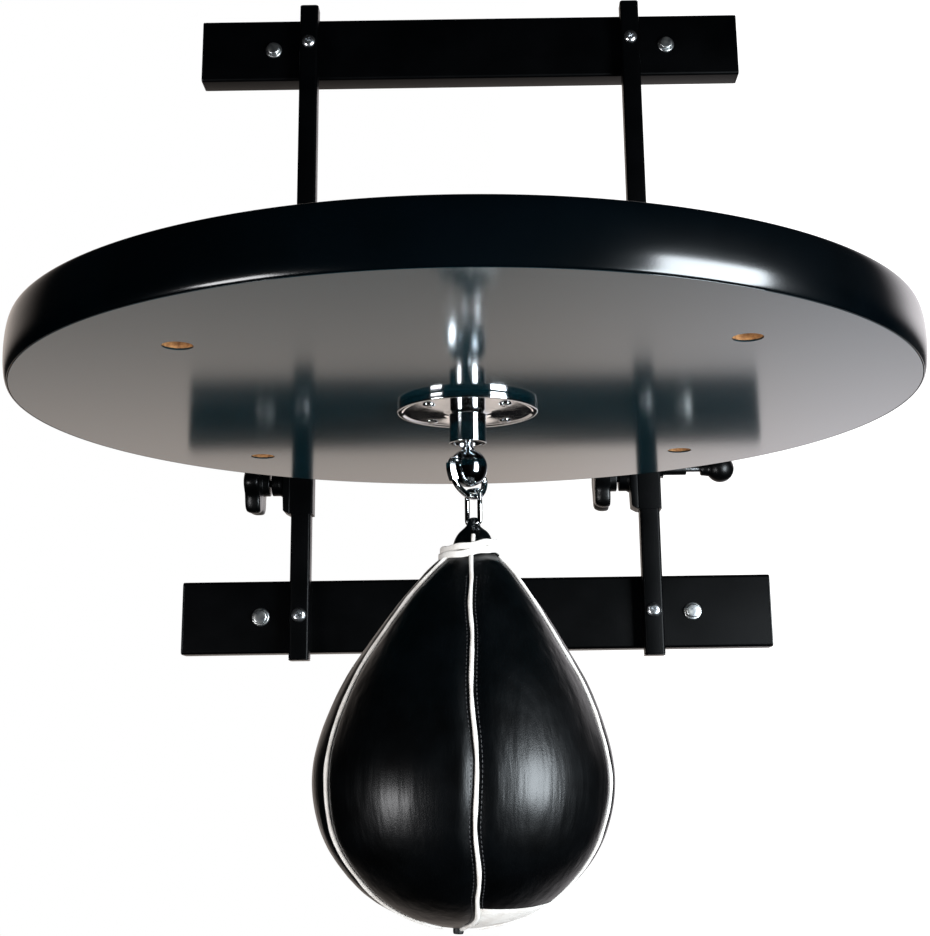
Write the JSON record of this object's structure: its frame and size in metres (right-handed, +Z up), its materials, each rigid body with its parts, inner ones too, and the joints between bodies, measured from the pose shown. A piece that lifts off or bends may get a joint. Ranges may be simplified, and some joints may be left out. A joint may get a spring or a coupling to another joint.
{
  "type": "speed bag platform",
  "caption": "Wall-mounted speed bag platform: round drum on arms that slide on two posts, with a clamp screw on each post, a pull pin, a swivel and a leather bag.",
  "frame": {"origin": "centre of the upper wall bar's back face, which lies on the wall", "axes": "+Y into the wall, +Z up, +X to the right of a person who faces the wall"},
  "size_m": [0.6096, 0.7978, 0.8739],
  "materials": {
    "powder_coat": "satin black powder coat",
    "black_plastic": "moulded black plastic",
    "zinc": "bright zinc plate",
    "chrome": "polished chrome plate",
    "board_wood": "raw board",
    "edge_band": "gloss black edge",
    "laminate": "gloss black laminate",
    "spring_steel": "bare steel",
    "black_leather": "glossy black leather",
    "white_leather": "white leather",
    "bladder_rubber": "black rubber"
  },
  "bodies": {
    "wall_frame": {"upper_wall_bar": "powder_coat", "lower_wall_bar": "powder_coat", "upper_bar_left_cap": "black_plastic", "upper_left_lag_bolt": "zinc", "upper_left_post_screw": "chrome", "upper_bar_right_cap": "black_plastic", "upper_right_lag_bolt": "zinc", "upper_right_post_screw": "chrome", "lower_bar_left_cap": "black_plastic", "lower_left_lag_bolt": "zinc", "lower_left_post_screw": "chrome", "lower_bar_right_cap": "black_plastic", "lower_right_lag_bolt": "zinc", "lower_right_post_screw": "chrome", "left_post": "powder_coat", "left_post_top_cap": "black_plastic", "left_post_bottom_cap": "black_plastic", "right_post": "powder_coat", "right_post_top_cap": "black_plastic", "right_post_bottom_cap": "black_plastic"},
    "carriage": {"left_sleeve": "powder_coat", "right_sleeve": "powder_coat", "left_arm": "powder_coat", "right_arm": "powder_coat", "left_arm_cap": "black_plastic", "right_arm_cap": "black_plastic", "left_brace": "powder_coat", "right_brace": "powder_coat", "drum_board": "board_wood", "drum_edge_band": "edge_band", "drum_laminate": "laminate", "drum_bolt_front_left": "zinc", "drum_bolt_front_right": "zinc", "drum_bolt_rear_left": "zinc", "drum_bolt_rear_right": "zinc", "swivel_flange": "chrome", "flange_screw_front_left": "chrome", "flange_screw_front_right": "chrome", "flange_screw_rear_left": "chrome", "flange_screw_rear_right": "chrome", "swivel_retainer": "chrome", "thrust_bearing": "spring_steel", "pin_barrel": "black_plastic", "pin_spring": "spring_steel"},
    "left_clamp_pad": {"left_clamp_pad": "black_plastic"},
    "left_clamp_knob": {"left_clamp_knob": "black_plastic", "left_clamp_stud": "zinc"},
    "right_clamp_pad": {"right_clamp_pad": "black_plastic"},
    "right_clamp_knob": {"right_clamp_knob": "black_plastic", "right_clamp_stud": "zinc"},
    "pull_pin": {"pin_plunger": "chrome", "pin_ball_knob": "black_plastic"},
    "swivel_rotor": {"swivel_spindle": "chrome", "swivel_ball": "chrome"},
    "ball_link": {"ball_link": "chrome"},
    "lower_link": {"lower_link": "chrome"},
    "bag": {"bag_shell": "black_leather", "bag_bladder": "bladder_rubber", "bag_collar": "white_leather", "bag_hanger": "black_leather"}
  },
  "joints": [
    {"name": "height_slide", "type": "slide", "parent": "wall_frame", "child": "carriage", "axis": [0, 0, 1], "range_m": [-0.0508, 0.254]},
    {"name": "left_pad_press", "type": "slide", "parent": "carriage", "child": "left_clamp_pad", "axis": [1, 0, 0], "range_m": [-0.0025, 0]},
    {"name": "left_knob_turn", "type": "hinge", "parent": "left_clamp_pad", "child": "left_clamp_knob", "pos_m": [-0.1675, -0.0363, -0.4645], "axis": [1, 0, 0], "range_deg": [-720, 0]},
    {"name": "right_pad_press", "type": "slide", "parent": "carriage", "child": "right_clamp_pad", "axis": [1, 0, 0], "range_m": [-0.0025, 0]},
    {"name": "right_knob_turn", "type": "hinge", "parent": "right_clamp_pad", "child": "right_clamp_knob", "pos_m": [0.1675, -0.0363, -0.4645], "axis": [1, 0, 0], "range_deg": [-720, 0]},
    {"name": "pin_pull", "type": "slide", "parent": "carriage", "child": "pull_pin", "axis": [1, 0, 0], "range_m": [0, 0.008], "stiffness_N_per_m": 600, "springref_m": -0.01, "deforming": ["pin_spring"]},
    {"name": "swivel_spin", "type": "hinge", "parent": "carriage", "child": "swivel_rotor", "pos_m": [0, -0.4695, -0.534], "axis": [0, 0, 1], "continuous": true},
    {"name": "link_swing", "type": "hinge", "parent": "swivel_rotor", "child": "ball_link", "pos_m": [0, -0.4695, -0.534], "axis": [-0.5793, -0.7791, 0.2397], "range_deg": [-42, 42]},
    {"name": "lower_link_swing", "type": "hinge", "parent": "ball_link", "child": "lower_link", "pos_m": [0.00321, -0.4686, -0.55364], "axis": [-0.5967, -0.8025, 0], "range_deg": [-15, 15]},
    {"name": "bag_swing", "type": "hinge", "parent": "lower_link", "child": "bag", "pos_m": [0.00321, -0.4686, -0.572], "axis": [0.8025, -0.5967, 0], "range_deg": [-30, 30]}
  ],
  "couplings": [
    {"joint": "left_pad_press", "follows": "left_knob_turn", "m_per_rad": 0.00019894},
    {"joint": "right_pad_press", "follows": "right_knob_turn", "m_per_rad": 0.00019894}
  ]
}
